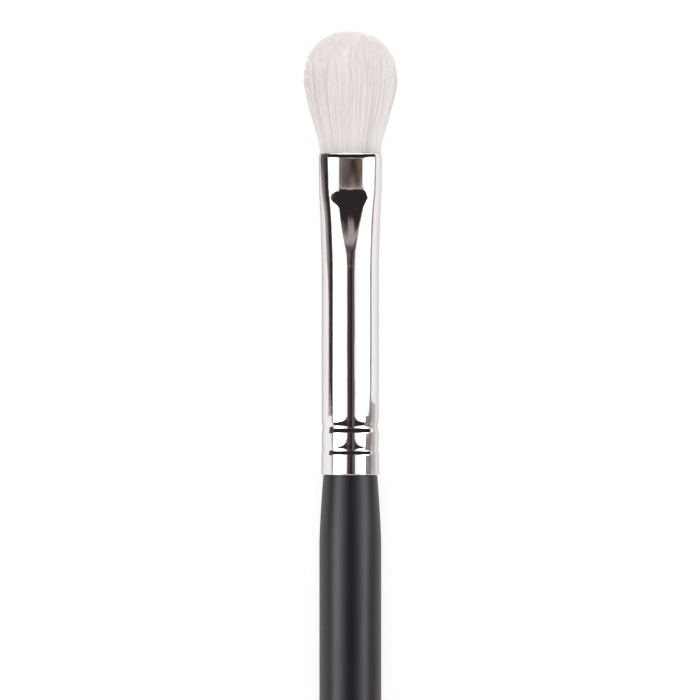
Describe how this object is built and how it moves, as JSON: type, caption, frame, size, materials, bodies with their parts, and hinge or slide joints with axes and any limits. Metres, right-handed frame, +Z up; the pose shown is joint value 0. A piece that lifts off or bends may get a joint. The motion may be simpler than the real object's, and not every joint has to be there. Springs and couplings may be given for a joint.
{
  "type": "blending brush",
  "caption": "Make-up blending brush: a domed oval tuft of pale hair in a bright crimped metal ferrule on a long tapered matte black wooden handle.",
  "frame": {"origin": "bottom centre of the bounding box, on the table under the brush as it lies on its flat side", "axes": "+X along the brush from its handle end to its hair, +Y across the broad side of the hair, +Z up through its thin side"},
  "size_m": [0.1774, 0.0116, 0.0077],
  "materials": {
    "black_lacquer": "matte black lacquer on turned wood",
    "bright_nickel": "bright nickel plating on brass tube",
    "pale_hair": "soft off-white hair",
    "waxed_thread": "waxed thread",
    "clear_resin": "cured amber resin",
    "white_glue": "cured glue"
  },
  "bodies": {
    "root": {"handle": "black_lacquer", "ferrule": "bright_nickel", "hair_tuft": "pale_hair", "binding_thread": "waxed_thread", "glue_plug": "clear_resin", "tenon_glue": "white_glue"}
  },
  "joints": []
}
